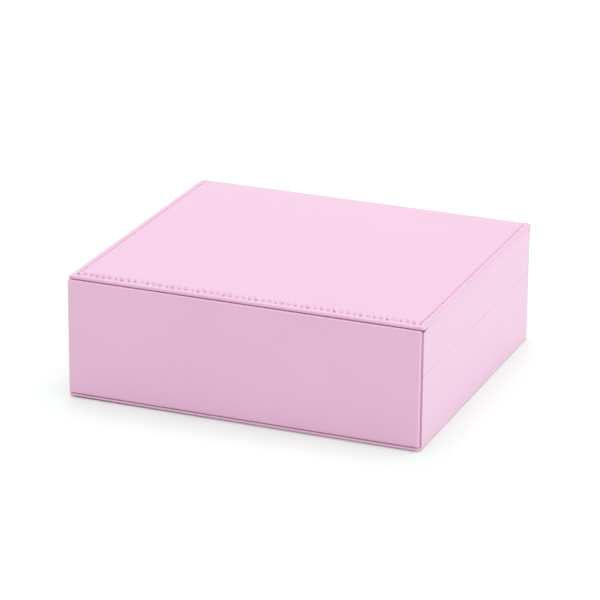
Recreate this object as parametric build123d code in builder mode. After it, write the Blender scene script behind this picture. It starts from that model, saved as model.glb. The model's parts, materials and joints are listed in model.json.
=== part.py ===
from build123d import *
import os

os.makedirs("parts", exist_ok=True)

# Leather jewellery case, millimetres. Origin: centre of the footprint on the surface
# it stands on. +X right, -Y front (the flap side), +Z up.

# ---- driving dimensions -------------------------------------------------------------
WIDTH = 240.0
DEPTH = 216.6
HEIGHT = 82.0
PARTING_Z = 49.2          # plane where the lid half meets the base half
PARTING_GAP = 0.5
WALL = 3.0                # case boards
LEATHER = 0.8             # leather skin over the boards
LINING = 1.0              # suede lining
RIM_STEP = 0.6            # the linings stop short of the parting plane
FIT = 0.5                 # play of the lift-out tray

FELT = 0.4
BOTTOM_BOARD = 1.5
LIP_FRONT_RADIUS = 2.0
FLAP_THICKNESS = 2.7
FLAP_SKIN = 0.5
FLAP_GAP = 1.2            # between the flap's facing and the front leather
FLAP_BOTTOM_Z = 2.6
FLAP_TOP_Z = 79.15
FLAP_SETBACK = 1.1        # the lip stands this much proud of the flap
FLAP_SHORT = 1.3          # the flap stops short of the case's right side
TOP_BOARD = 2.0
EDGE_ROLL = 1.7           # the top leather rolls this far forward, over the flap's upper edge
EDGE_ROLL_Z = 79.9        # underside of that roll
REAR_RADIUS = 3.0
FRONT_RADIUS = 1.2

HINGE_Y = 106.0
HINGE_X = 70.0
HINGE_LENGTH = 30.0
KNUCKLE_R = 1.45
PIN_R = 0.55
RUNNING_CLEARANCE = 0.05
LEAF = 0.8
LEAF_HEIGHT = 13.0
BEVEL_SLOPE = 1.28        # rise of each half of the rear relief per millimetre behind the hinge pin

SCREW_R = 0.7
SCREW_LENGTH = 1.9
SCREW_REACH = 8.5         # distance of each screw from the parting plane
SCREW_PITCH = 18.0
SCREW_X = [hinge + side * SCREW_PITCH / 2 for hinge in (-HINGE_X, HINGE_X) for side in (-1, 1)]

MAGNET_X = (-75.0, 75.0)
MAGNET_Z = 20.0
MAGNET_R = 5.0
MAGNET_THICKNESS = 1.5
PLATE = 14.0              # steel catch plates behind the front leather
PLATE_THICKNESS = 0.8

MIRROR = (168.0, 144.0, 2.0)
MIRROR_FRAME = (188.0, 164.0, 3.0)
MIRROR_LIP = 2.0          # the frame overlaps the glass by this much

TRAY_Z = (24.0, 47.0)
TRAY_WALL = 2.4
TRAY_FLOOR = 2.0
LEDGE = 3.0
ROLL_COUNT = 5
ROLL_GAP = 0.4
ROLL_RADIUS = 6.0
TAB_WIDTH = 16.0
TAB_TOP_Z = 52.0

# ---- planes worked out from them ----------------------------------------------------
HALF_W = WIDTH / 2
FRONT_Y = -DEPTH / 2
BACK_Y = DEPTH / 2
FLAP_Y = (FRONT_Y + FLAP_SETBACK, FRONT_Y + FLAP_SETBACK + FLAP_THICKNESS)
FLAP_X = (-HALF_W, HALF_W - FLAP_SHORT)
SKIN_FRONT_Y = FLAP_Y[1] + FLAP_GAP
BOARD_X = HALF_W - LEATHER
INNER_X = BOARD_X - WALL
BOARD_FRONT_Y = SKIN_FRONT_Y + LEATHER
BOARD_BACK_Y = BACK_Y - LEATHER
INNER_FRONT_Y = BOARD_FRONT_Y + WALL
INNER_BACK_Y = BOARD_BACK_Y - WALL
BOTTOM_Z = (FELT, FELT + BOTTOM_BOARD)
BASE_TOP_Z = PARTING_Z - PARTING_GAP / 2
LID_BOTTOM_Z = PARTING_Z + PARTING_GAP / 2
BASE_WALL_Z = (BOTTOM_Z[1], BASE_TOP_Z)
LID_WALL_Z = (LID_BOTTOM_Z, HEIGHT - LEATHER - TOP_BOARD)
TOP_BOARD_Z = (LID_WALL_Z[1], HEIGHT - LEATHER)
CAVITY_X = (-INNER_X + LINING, INNER_X - LINING)
CAVITY_Y = (INNER_FRONT_Y + LINING, INNER_BACK_Y - LINING)
BASE_FLOOR_Z = BOTTOM_Z[1] + LINING
LID_CEILING_Z = LID_WALL_Z[1] - LINING
SEAM_Y = BACK_Y - REAR_RADIUS - 0.3   # where the side leather butts against the back leather


def add_box(x, y, z, mode=Mode.ADD):
    """A box between (low, high) limits on each axis, in the active part."""
    with Locations(((x[0] + x[1]) / 2, (y[0] + y[1]) / 2, (z[0] + z[1]) / 2)):
        Box(x[1] - x[0], y[1] - y[0], z[1] - z[0], mode=mode)


def save(part, label):
    """Label a finished piece and write its STEP file."""
    part.label = label
    export_step(part, f"parts/{label}.step")


def round_corners(part, front_radius, rear_radius):
    """Round the upright outer corners of a plain block."""
    uprights = part.edges().filter_by(Axis.Z).group_by(Axis.Y)
    fillet(uprights[-1], radius=rear_radius)
    fillet(uprights[0], radius=front_radius)


def case_block(z):
    """The case's outside, leather included, between two heights."""
    with BuildPart(mode=Mode.PRIVATE) as block:
        add_box((-HALF_W, HALF_W), (SKIN_FRONT_Y, BACK_Y), z)
        round_corners(block, FRONT_RADIUS, REAR_RADIUS)
    return block.part


def board_block(z):
    """The space inside the leather between two heights."""
    with BuildPart(mode=Mode.PRIVATE) as block:
        add_box((-BOARD_X, BOARD_X), (BOARD_FRONT_Y, BOARD_BACK_Y), z)
        round_corners(block, FRONT_RADIUS - LEATHER, REAR_RADIUS - LEATHER)
    return block.part


# Relief behind the hinge pins: the rear edges fall away so that the lid can lean back to its stop.
relief_depth = BACK_Y + 1 - HINGE_Y
relief_rise = relief_depth * BEVEL_SLOPE
with BuildPart() as rear_relief:
    with BuildSketch(Plane.YZ) as relief_profile:
        with BuildLine():
            Polyline(
                (HINGE_Y, BASE_TOP_Z),
                (BACK_Y + 1, BASE_TOP_Z - relief_rise),
                (BACK_Y + 1, LID_BOTTOM_Z + relief_rise),
                (HINGE_Y, LID_BOTTOM_Z),
                close=True,
            )
        make_face()
    extrude(amount=HALF_W + 1, both=True)

# Notches for the hinge barrels and pockets for their leaves, cut into both back walls.
with BuildPart() as hinge_pockets:
    half = HINGE_LENGTH / 2 + 0.2
    for centre in (-HINGE_X, HINGE_X):
        span = (centre - half, centre + half)
        add_box(span, (HINGE_Y - 2.0, BACK_Y + 1), (PARTING_Z - 2.0, PARTING_Z + 2.0))
        add_box(span, (INNER_BACK_Y - 1, INNER_BACK_Y + LEAF + 0.05),
                (PARTING_Z - LEAF_HEIGHT - 0.2, PARTING_Z + LEAF_HEIGHT + 0.2))

# ---- base half ----------------------------------------------------------------------
with BuildPart() as bottom_felt:
    add_box((-HALF_W + 5, HALF_W - 5), (FRONT_Y + 5, BACK_Y - 5), (0, FELT))
save(bottom_felt.part, "bottom_felt")

with BuildPart() as bottom_board:
    add_box((-BOARD_X, BOARD_X), (FRONT_Y, BOARD_BACK_Y), BOTTOM_Z)
    round_corners(bottom_board, LIP_FRONT_RADIUS, REAR_RADIUS - LEATHER)
save(bottom_board.part, "bottom_board")


def wall_boards(prefix, z):
    """Four wall boards of one half: the side walls run the full depth."""
    for side, label in ((-1, "left"), (1, "right")):
        with BuildPart() as side_wall:
            add(board_block(z))
            inner, outer = sorted((side * INNER_X, side * HALF_W))
            add_box((inner, outer), (FRONT_Y, BACK_Y), z, Mode.INTERSECT)
            add(rear_relief.part, mode=Mode.SUBTRACT)
        save(side_wall.part, f"{prefix}_{label}_wall")

    with BuildPart() as back_wall:
        add_box((-INNER_X, INNER_X), (INNER_BACK_Y, BOARD_BACK_Y), z)
        add(rear_relief.part, mode=Mode.SUBTRACT)
        add(hinge_pockets.part, mode=Mode.SUBTRACT)
        cut_screw_holes(z)
    save(back_wall.part, f"{prefix}_back_wall")

    with BuildPart() as front_wall:
        add_box((-INNER_X, INNER_X), (BOARD_FRONT_Y, INNER_FRONT_Y), z)
        if prefix == "base":
            for centre in MAGNET_X:
                add_box((centre - PLATE / 2 - 0.1, centre + PLATE / 2 + 0.1),
                        (BOARD_FRONT_Y - 1, BOARD_FRONT_Y + PLATE_THICKNESS + 0.05),
                        (MAGNET_Z - PLATE / 2 - 0.1, MAGNET_Z + PLATE / 2 + 0.1), Mode.SUBTRACT)
    save(front_wall.part, f"{prefix}_front_wall")


def screw_height(z):
    """Height of the screws in the half that spans z."""
    return PARTING_Z + SCREW_REACH if z[0] > PARTING_Z else PARTING_Z - SCREW_REACH


def cut_screw_holes(z):
    """Pilot holes through the leaf and into the back wall, in the active part."""
    for x in SCREW_X:
        with BuildSketch(Plane.XZ.offset(-INNER_BACK_Y)) as hole:
            with Locations((x, screw_height(z))):
                Circle(SCREW_R + RUNNING_CLEARANCE)
        extrude(hole.sketch, amount=-SCREW_LENGTH - 0.1, mode=Mode.SUBTRACT)


wall_boards("base", BASE_WALL_Z)
wall_boards("lid", LID_WALL_Z)


def leather_skins(prefix, z):
    """Leather round one half: one piece on the front and sides, one on the back."""
    with BuildPart() as side_leather:
        add(case_block(z))
        add(board_block((0, HEIGHT)), mode=Mode.SUBTRACT)
        add_box((-HALF_W, HALF_W), (SEAM_Y, BACK_Y), z, Mode.SUBTRACT)
        if prefix == "base":
            add_box((-BOARD_X, BOARD_X), (FRONT_Y, BOARD_BACK_Y), (0, BOTTOM_Z[1]), Mode.SUBTRACT)
        add(rear_relief.part, mode=Mode.SUBTRACT)
    save(side_leather.part, f"{prefix}_side_leather")

    with BuildPart() as back_leather:
        add(case_block(z))
        add(board_block((0, HEIGHT)), mode=Mode.SUBTRACT)
        add_box((-HALF_W, HALF_W), (SEAM_Y + 0.05, BACK_Y), z, Mode.INTERSECT)
        add(rear_relief.part, mode=Mode.SUBTRACT)
    save(back_leather.part, f"{prefix}_back_leather")


leather_skins("base", (FELT, BASE_TOP_Z))
leather_skins("lid", LID_WALL_Z)

with BuildPart() as base_lining:
    rim = BASE_TOP_Z - RIM_STEP
    add_box((-INNER_X, INNER_X), (INNER_FRONT_Y, INNER_BACK_Y), (BOTTOM_Z[1], rim))
    add_box(CAVITY_X, CAVITY_Y, (BASE_FLOOR_Z, rim), Mode.SUBTRACT)
save(base_lining.part, "base_lining")

for side, label in ((-1, "left"), (1, "right")):
    with BuildPart() as tray_ledge:
        near, far = sorted((side * (CAVITY_X[1] - LEDGE), side * CAVITY_X[1]))
        add_box((near, far), CAVITY_Y, (BASE_FLOOR_Z, TRAY_Z[0]))
    save(tray_ledge.part, f"tray_ledge_{label}")

DIVIDER = 2.4
LOWER_DIVIDER_Y = 6.0
DIVIDER_Z = (BASE_FLOOR_Z, TRAY_Z[0] - 1.0)
with BuildPart() as base_long_divider:
    add_box((CAVITY_X[0] + LEDGE, CAVITY_X[1] - LEDGE),
            (LOWER_DIVIDER_Y - DIVIDER / 2, LOWER_DIVIDER_Y + DIVIDER / 2), DIVIDER_Z)
save(base_long_divider.part, "base_long_divider")

with BuildPart() as base_cross_divider:
    add_box((-DIVIDER / 2, DIVIDER / 2), (CAVITY_Y[0], LOWER_DIVIDER_Y - DIVIDER / 2), DIVIDER_Z)
save(base_cross_divider.part, "base_cross_divider")

with BuildPart() as catch_plates:
    for centre in MAGNET_X:
        add_box((centre - PLATE / 2, centre + PLATE / 2),
                (BOARD_FRONT_Y, BOARD_FRONT_Y + PLATE_THICKNESS),
                (MAGNET_Z - PLATE / 2, MAGNET_Z + PLATE / 2))
save(catch_plates.part, "catch_plates")

# ---- concealed stop hinges ----------------------------------------------------------
# Each hinge has five knuckles: three on the base leaf, two on the lid leaf.
KNUCKLES = 5
KNUCKLE_PITCH = HINGE_LENGTH / KNUCKLES
KNUCKLE_GAP = 0.15


def hinge_leaves(label, z, own_knuckles):
    """The two leaves on one half, each with the knuckles that belong to it."""
    with BuildPart() as leaves:
        for centre in (-HINGE_X, HINGE_X):
            left = centre - HINGE_LENGTH / 2
            add_box((left, left + HINGE_LENGTH), (INNER_BACK_Y, INNER_BACK_Y + LEAF), z)
            for index in range(KNUCKLES):
                low = left + index * KNUCKLE_PITCH + KNUCKLE_GAP
                high = low + KNUCKLE_PITCH - 2 * KNUCKLE_GAP
                middle = (low + high) / 2
                with Locations(Location((middle, HINGE_Y, PARTING_Z), (0, 90, 0))):
                    if index in own_knuckles:
                        Cylinder(KNUCKLE_R, high - low)
                    else:
                        Cylinder(KNUCKLE_R + 0.3, high - low + 4 * KNUCKLE_GAP, mode=Mode.SUBTRACT)
        for index in own_knuckles:
            for centre in (-HINGE_X, HINGE_X):
                middle = centre - HINGE_LENGTH / 2 + (index + 0.5) * KNUCKLE_PITCH
                reach = KNUCKLE_PITCH / 2 - KNUCKLE_GAP
                side = 1 if z[0] > PARTING_Z else -1
                web = sorted((PARTING_Z + side * 0.7, PARTING_Z + side * 2.2))
                add_box((middle - reach, middle + reach),
                        (INNER_BACK_Y, INNER_BACK_Y + LEAF), web)
        for centre in (-HINGE_X, HINGE_X):
            with Locations(Location((centre, HINGE_Y, PARTING_Z), (0, 90, 0))):
                Cylinder(PIN_R + RUNNING_CLEARANCE, HINGE_LENGTH + 1, mode=Mode.SUBTRACT)
        cut_screw_holes(z)
    save(leaves.part, label)


hinge_leaves("hinge_base_leaves", (PARTING_Z - LEAF_HEIGHT, PARTING_Z - 2.1), (0, 2, 4))
hinge_leaves("hinge_lid_leaves", (PARTING_Z + 2.1, PARTING_Z + LEAF_HEIGHT), (1, 3))

with BuildPart() as hinge_pins:
    for centre in (-HINGE_X, HINGE_X):
        with Locations(Location((centre, HINGE_Y, PARTING_Z), (0, 90, 0))):
            Cylinder(PIN_R, HINGE_LENGTH)
save(hinge_pins.part, "hinge_pins")

for prefix, z in (("base", BASE_WALL_Z), ("lid", LID_WALL_Z)):
    with BuildPart() as screws:
        for x in SCREW_X:
            with Locations(Location((x, INNER_BACK_Y + SCREW_LENGTH / 2, screw_height(z)), (90, 0, 0))):
                Cylinder(SCREW_R, SCREW_LENGTH)
    save(screws.part, f"hinge_{prefix}_screws")

# ---- lid half -----------------------------------------------------------------------
with BuildPart() as top_board:
    add(board_block(TOP_BOARD_Z))
save(top_board.part, "top_board")

# Leather cap over the top board, with a groove for the topstitching on three sides.
STITCH_INSET = 3.8
THREAD = 0.5
stitch_x = HALF_W - STITCH_INSET
stitch_front_y = SKIN_FRONT_Y + STITCH_INSET
stitch_runs = (
    ((-stitch_x - THREAD / 2, -stitch_x + THREAD / 2), (stitch_front_y, BACK_Y - 2.0)),
    ((stitch_x - THREAD / 2, stitch_x + THREAD / 2), (stitch_front_y, BACK_Y - 2.0)),
    ((-stitch_x + 1.5, stitch_x - 1.5), (stitch_front_y - THREAD / 2, stitch_front_y + THREAD / 2)),
)
with BuildPart() as top_leather:
    add(case_block((TOP_BOARD_Z[0], HEIGHT)))
    add_box((-HALF_W, HALF_W), (SKIN_FRONT_Y - EDGE_ROLL, SKIN_FRONT_Y + 2.0), (EDGE_ROLL_Z, HEIGHT))
    fillet(top_leather.faces().sort_by(Axis.Z)[-1].edges(), radius=0.7)
    add(board_block(TOP_BOARD_Z), mode=Mode.SUBTRACT)
    for run_x, run_y in stitch_runs:
        add_box(run_x, run_y, (HEIGHT - 0.4, HEIGHT), Mode.SUBTRACT)
save(top_leather.part, "top_leather")

with BuildPart() as top_stitching:
    for run_x, run_y in stitch_runs:
        add_box(run_x, run_y, (HEIGHT - 0.4, HEIGHT - 0.05))
save(top_stitching.part, "top_stitching")

with BuildPart() as lid_lining:
    rim = LID_BOTTOM_Z + RIM_STEP
    add_box((-INNER_X, INNER_X), (INNER_FRONT_Y, INNER_BACK_Y), (rim, LID_WALL_Z[1]))
    add_box(CAVITY_X, CAVITY_Y, (rim, LID_CEILING_Z), Mode.SUBTRACT)
save(lid_lining.part, "lid_lining")

MIRROR_Y = (CAVITY_Y[0] + CAVITY_Y[1]) / 2
FRAME_Z = (LID_CEILING_Z - MIRROR_FRAME[2], LID_CEILING_Z)
GLASS_Z = (LID_CEILING_Z - MIRROR[2], LID_CEILING_Z)


def centred(size, middle=0.0, play=0.0):
    """(low, high) limits of a length about a middle."""
    return middle - size / 2 - play, middle + size / 2 + play


with BuildPart() as mirror_frame:
    add_box(centred(MIRROR_FRAME[0]), centred(MIRROR_FRAME[1], MIRROR_Y), FRAME_Z)
    fillet(mirror_frame.edges().filter_by(Axis.Z), radius=4.0)
    add_box(centred(MIRROR[0] - 2 * MIRROR_LIP), centred(MIRROR[1] - 2 * MIRROR_LIP, MIRROR_Y),
            FRAME_Z, Mode.SUBTRACT)
    add_box(centred(MIRROR[0], play=0.2), centred(MIRROR[1], MIRROR_Y, 0.2), GLASS_Z, Mode.SUBTRACT)
save(mirror_frame.part, "mirror_frame")

with BuildPart() as mirror_glass:
    add_box(centred(MIRROR[0]), centred(MIRROR[1], MIRROR_Y), GLASS_Z)
save(mirror_glass.part, "mirror_glass")

# ---- front flap ---------------------------------------------------------------------
CORE_Y = (FLAP_Y[0] + FLAP_SKIN, FLAP_Y[1] - FLAP_SKIN)
CORE_X = (FLAP_X[0] + FLAP_SKIN, FLAP_X[1] - FLAP_SKIN)
CORE_Z = (FLAP_BOTTOM_Z + FLAP_SKIN, FLAP_TOP_Z - FLAP_SKIN)
magnet_y = (CORE_Y[1] - MAGNET_THICKNESS, CORE_Y[1])

with BuildPart() as flap_board:
    add_box(CORE_X, CORE_Y, CORE_Z)
    for centre in MAGNET_X:
        with Locations(Location((centre, sum(magnet_y) / 2, MAGNET_Z), (90, 0, 0))):
            Cylinder(MAGNET_R + 0.1, MAGNET_THICKNESS, mode=Mode.SUBTRACT)
save(flap_board.part, "flap_board")

with BuildPart() as flap_magnets:
    for centre in MAGNET_X:
        with Locations(Location((centre, sum(magnet_y) / 2, MAGNET_Z), (90, 0, 0))):
            Cylinder(MAGNET_R, MAGNET_THICKNESS)
save(flap_magnets.part, "flap_magnets")

with BuildPart() as flap_leather:
    add_box(FLAP_X, (FLAP_Y[0], CORE_Y[1]), (FLAP_BOTTOM_Z, FLAP_TOP_Z))
    fillet(flap_leather.faces().sort_by(Axis.Y)[0].edges(), radius=0.45)
    add_box(CORE_X, CORE_Y, CORE_Z, Mode.SUBTRACT)
save(flap_leather.part, "flap_leather")

with BuildPart() as flap_facing:
    add_box(FLAP_X, (CORE_Y[1], FLAP_Y[1]), (FLAP_BOTTOM_Z, FLAP_TOP_Z))
save(flap_facing.part, "flap_facing")

# Leather strip folded behind the flap. The flap turns about a line under the top leather's rolled
# front edge, low enough for the flap's upper edge to swing clear of that edge.
FLAP_AXIS = (0, SKIN_FRONT_Y - 1.8, FLAP_TOP_Z + 0.45)
STRIP = 0.45
STRIP_Z = (FLAP_TOP_Z - 18.0, FLAP_TOP_Z - 0.9)
with BuildPart() as flap_hinge_lid_strip:
    add_box((FLAP_X[0] + 1, FLAP_X[1] - 1), (SKIN_FRONT_Y - STRIP, SKIN_FRONT_Y), STRIP_Z)
save(flap_hinge_lid_strip.part, "flap_hinge_lid_strip")

with BuildPart() as flap_hinge_flap_strip:
    add_box((FLAP_X[0] + 1, FLAP_X[1] - 1), (FLAP_Y[1], FLAP_Y[1] + STRIP), STRIP_Z)
save(flap_hinge_flap_strip.part, "flap_hinge_flap_strip")

# ---- lift-out tray ------------------------------------------------------------------
TRAY_X = (CAVITY_X[0] + FIT, CAVITY_X[1] - FIT)
TRAY_Y = (CAVITY_Y[0] + FIT, CAVITY_Y[1] - FIT)
TRAY_IN_X = (TRAY_X[0] + TRAY_WALL, TRAY_X[1] - TRAY_WALL)
TRAY_IN_Y = (TRAY_Y[0] + TRAY_WALL, TRAY_Y[1] - TRAY_WALL)
TRAY_FLOOR_Z = TRAY_Z[0] + TRAY_FLOOR
TRAY_DIVIDER_Z = (TRAY_FLOOR_Z, TRAY_Z[1] - 2.0)
LONG_DIVIDER_X = -8.0
ROLLS_BACK_Y = 2.0
GRID_X = 54.0
GRID_Y = (-32.0, 34.0)

with BuildPart() as tray_floor:
    add_box(TRAY_X, TRAY_Y, (TRAY_Z[0], TRAY_FLOOR_Z))
save(tray_floor.part, "tray_floor")

wall_z = (TRAY_FLOOR_Z, TRAY_Z[1])
tray_walls = {
    "left": ((TRAY_X[0], TRAY_IN_X[0]), TRAY_Y),
    "right": ((TRAY_IN_X[1], TRAY_X[1]), TRAY_Y),
    "front": (TRAY_IN_X, (TRAY_Y[0], TRAY_IN_Y[0])),
    "back": (TRAY_IN_X, (TRAY_IN_Y[1], TRAY_Y[1])),
}
for label, (x, y) in tray_walls.items():
    with BuildPart() as tray_wall:
        add_box(x, y, wall_z)
    save(tray_wall.part, f"tray_{label}_wall")


def thick(middle, size=DIVIDER):
    """(low, high) limits of a divider's thickness."""
    return middle - size / 2, middle + size / 2


tray_dividers = {
    "long": (thick(LONG_DIVIDER_X), TRAY_IN_Y),
    "short": ((TRAY_IN_X[0], LONG_DIVIDER_X - DIVIDER / 2), thick(ROLLS_BACK_Y)),
    "front_cross": ((LONG_DIVIDER_X + DIVIDER / 2, TRAY_IN_X[1]), thick(GRID_Y[0])),
    "back_cross": ((LONG_DIVIDER_X + DIVIDER / 2, TRAY_IN_X[1]), thick(GRID_Y[1])),
    "front_half": (thick(GRID_X), (TRAY_IN_Y[0], GRID_Y[0] - DIVIDER / 2)),
    "middle_half": (thick(GRID_X), (GRID_Y[0] + DIVIDER / 2, GRID_Y[1] - DIVIDER / 2)),
}
for label, (x, y) in tray_dividers.items():
    with BuildPart() as tray_divider:
        add_box(x, y, TRAY_DIVIDER_Z)
    save(tray_divider.part, f"tray_{label}_divider")

rolls_y = (TRAY_IN_Y[0], ROLLS_BACK_Y - DIVIDER / 2)
roll_pitch = (rolls_y[1] - rolls_y[0]) / ROLL_COUNT
roll_x = (TRAY_IN_X[0] + 1.8, LONG_DIVIDER_X - DIVIDER / 2 - ROLL_GAP)
for index in range(ROLL_COUNT):
    low = rolls_y[0] + index * roll_pitch + ROLL_GAP / 2
    with BuildPart() as ring_roll:
        add_box(roll_x, (low, low + roll_pitch - ROLL_GAP), (TRAY_FLOOR_Z, TRAY_Z[1] - 2.5))
        fillet(ring_roll.faces().sort_by(Axis.Z)[-1].edges().filter_by(Axis.X), radius=ROLL_RADIUS)
    save(ring_roll.part, f"ring_roll_{index + 1}")

with BuildPart() as tray_pull_tabs:
    for near, far in ((TRAY_IN_X[0], TRAY_IN_X[0] + 1.0), (TRAY_IN_X[1] - 1.0, TRAY_IN_X[1])):
        add_box((near, far), centred(TAB_WIDTH, ROLLS_BACK_Y + 14.0), (TRAY_FLOOR_Z + 6.0, TAB_TOP_Z))
save(tray_pull_tabs.part, "tray_pull_tabs")
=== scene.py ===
import json
import math

import bmesh
import bpy
import numpy as np
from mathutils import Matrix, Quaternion, Vector, noise


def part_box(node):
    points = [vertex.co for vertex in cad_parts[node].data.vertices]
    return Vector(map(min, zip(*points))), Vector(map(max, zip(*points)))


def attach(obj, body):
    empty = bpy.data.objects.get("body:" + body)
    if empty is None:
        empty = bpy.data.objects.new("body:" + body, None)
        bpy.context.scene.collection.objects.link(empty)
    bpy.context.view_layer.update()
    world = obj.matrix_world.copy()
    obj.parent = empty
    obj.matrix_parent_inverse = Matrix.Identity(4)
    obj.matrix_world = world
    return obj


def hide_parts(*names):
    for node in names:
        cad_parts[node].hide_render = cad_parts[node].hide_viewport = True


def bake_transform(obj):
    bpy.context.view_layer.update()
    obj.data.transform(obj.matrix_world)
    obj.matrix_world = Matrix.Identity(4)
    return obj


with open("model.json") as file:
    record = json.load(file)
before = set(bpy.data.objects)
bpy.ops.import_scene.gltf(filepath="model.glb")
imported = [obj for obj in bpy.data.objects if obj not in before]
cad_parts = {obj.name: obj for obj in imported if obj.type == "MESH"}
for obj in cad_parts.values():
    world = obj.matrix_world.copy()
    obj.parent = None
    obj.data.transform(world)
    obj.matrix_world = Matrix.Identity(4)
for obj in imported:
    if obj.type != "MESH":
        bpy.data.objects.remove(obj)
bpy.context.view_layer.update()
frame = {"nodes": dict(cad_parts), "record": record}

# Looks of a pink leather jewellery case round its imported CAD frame.
# Shapes are worked out in millimetres from the CAD nodes' boxes and scaled by MM when a mesh is made.
MM = 0.001
record = frame["record"]
joints = {joint["name"]: joint for joint in record["behaviour"]["joints"]}


# ======================================================================================
# Frame measurements
# ======================================================================================
def box_mm(node):
    """Lowest and highest corner of a CAD node, in millimetres."""
    lo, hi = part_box(node)
    return np.array(lo) / MM, np.array(hi) / MM


lid_lo, lid_hi = box_mm("lid_side_leather")
base_lo, base_hi = box_mm("base_side_leather")
top_lo, top_hi = box_mm("top_leather")
back_lo, back_hi = box_mm("base_back_leather")
flap_lo, flap_hi = box_mm("flap_leather")
facing_lo, facing_hi = box_mm("flap_facing")
board_lo, board_hi = box_mm("bottom_board")
felt_lo, felt_hi = box_mm("bottom_felt")
side_board_lo, side_board_hi = box_mm("base_right_wall")
back_board_lo, back_board_hi = box_mm("base_back_wall")

HALF_W = lid_hi[0]
SKIN_FRONT_Y = lid_lo[1]
BACK_Y = back_hi[1]
HINGE_Y = joints["lid_hinge"]["pos_m"][1] / MM
SEAM_Y = base_hi[1]
PARTING_Z = joints["lid_hinge"]["pos_m"][2] / MM
LEATHER = HALF_W - side_board_hi[0]
WALL = side_board_hi[0] - side_board_lo[0]
TOP_Z = top_hi[2]
PANEL_Z = top_lo[2]
REAR_RADIUS = 3.0
FRONT_RADIUS = 0.25
CASE_RECT = (-HALF_W, HALF_W, SKIN_FRONT_Y, BACK_Y)
PANEL_RECT = (-HALF_W, HALF_W, top_lo[1], BACK_Y)
ROLL_UNDER_Z = 79.85                    # underside of the panel's rolled front edge
# Top panel corners in plan: front left, front right, rear right, rear left.
PANEL_RADII = (0.6, 0.8, 1.3, 4.5)
STITCH_PITCH = 4.4
STITCH_INSET = 4.0
THREAD_R = 0.36
LEAST_RADIUS = 0.05                      # so that a corner never closes to a point


# ======================================================================================
# Mesh tools
# ======================================================================================
def make(name, verts, faces, material, body=None, smooth=True):
    """A mesh object from millimetre vertices, with its normals outwards, riding on a body."""
    mesh = bpy.data.meshes.new(name)
    mesh.from_pydata((np.asarray(verts, float) * MM).tolist(), [], [list(map(int, f)) for f in faces])
    work = bmesh.new()
    work.from_mesh(mesh)
    bmesh.ops.remove_doubles(work, verts=work.verts, dist=1e-7)
    bmesh.ops.recalc_face_normals(work, faces=work.faces)
    work.to_mesh(mesh)
    work.free()
    mesh.polygons.foreach_set("use_smooth", [smooth] * len(mesh.polygons))
    mesh.materials.append(material)
    obj = bpy.data.objects.new(name, mesh)
    bpy.context.scene.collection.objects.link(obj)
    if smooth:
        weighted = obj.modifiers.new("weighted_normals", "WEIGHTED_NORMAL")
        weighted.weight = 60
    if body:
        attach(obj, body)
    return obj


def arc(centre, radius, start_deg, end_deg, count):
    """Points on a circular arc, ends included."""
    angles = np.radians(np.linspace(start_deg, end_deg, count))
    return np.column_stack([centre[0] + radius * np.cos(angles), centre[1] + radius * np.sin(angles)])


def line(start, end, count):
    """Points from start up to, but not including, end."""
    t = np.linspace(0, 1, count, endpoint=False)[:, None]
    return np.array(start) * (1 - t) + np.array(end) * t


def rounded_loop(rect, inset, radii, counts):
    """A rounded rectangle inset from rect, from its low corner round to the right and back.

    radii: (low left, low right, high right, high left). counts: (points along x, along y, round a corner).
    """
    x0, x1, y0, y1 = rect[0] + inset, rect[1] - inset, rect[2] + inset, rect[3] - inset
    a, b, c, d = (max(radius - inset, LEAST_RADIUS) for radius in radii)
    nx, ny, nc = counts
    parts = [
        line((x0 + a, y0), (x1 - b, y0), nx),
        arc((x1 - b, y0 + b), b, -90, 0, nc)[:-1],
        line((x1, y0 + b), (x1, y1 - c), ny),
        arc((x1 - c, y1 - c), c, 0, 90, nc)[:-1],
        line((x1 - c, y1), (x0 + d, y1), nx),
        arc((x0 + d, y1 - d), d, 90, 180, nc)[:-1],
        line((x0, y1 - d), (x0, y0 + a), ny),
        arc((x0 + a, y0 + a), a, 180, 270, nc)[:-1],
    ]
    return np.vstack(parts)


def open_loop(rect, inset, radius, counts, seam_y, front=True):
    """The part of a rounded rectangle in front of seam_y (or behind it), from left to right."""
    x0, x1 = rect[0] + inset, rect[1] - inset
    y = rect[2] + inset if front else rect[3] - inset
    turn = 1 if front else -1
    r = max(radius - inset, LEAST_RADIUS)
    nx, ny, nc = counts
    return np.vstack([
        line((x0, seam_y), (x0, y + turn * r), ny),
        arc((x0 + r, y + turn * r), r, 180, 180 + turn * 90, nc)[:-1],
        line((x0 + r, y), (x1 - r, y), nx),
        arc((x1 - r, y + turn * r), r, -turn * 90, 0, nc)[:-1],
        line((x1, y + turn * r), (x1, seam_y), ny),
        [(x1, seam_y)],
    ])


def at_height(loop, z):
    """A flat loop lifted to a height."""
    return np.column_stack([loop, np.full(len(loop), z)])


def stacked(rect, profile, radius, counts):
    """A rounded rectangle at each (inset, height) of a profile."""
    return [at_height(rounded_loop(rect, inset, (radius,) * 4, counts), z) for inset, z in profile]


def loft(loops, wrap_loop=True, wrap_profile=False, cap=(False, False)):
    """Vertices and faces of a skin over a stack of equal loops."""
    count = len(loops[0])
    verts = np.vstack(loops)
    faces = []
    rows = len(loops)
    last_row = rows if wrap_profile else rows - 1
    last_column = count if wrap_loop else count - 1
    for row in range(last_row):
        a, b = row * count, (row + 1) % rows * count
        for column in range(last_column):
            following = (column + 1) % count
            faces.append((a + column, a + following, b + following, b + column))
    if cap[0]:
        faces.append(tuple(range(count)))
    if cap[1]:
        faces.append(tuple(range((rows - 1) * count, rows * count)))
    if wrap_profile and not wrap_loop:
        faces.append(tuple(row * count for row in range(rows)))
        faces.append(tuple(row * count + count - 1 for row in range(rows)))
    return verts, faces


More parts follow.
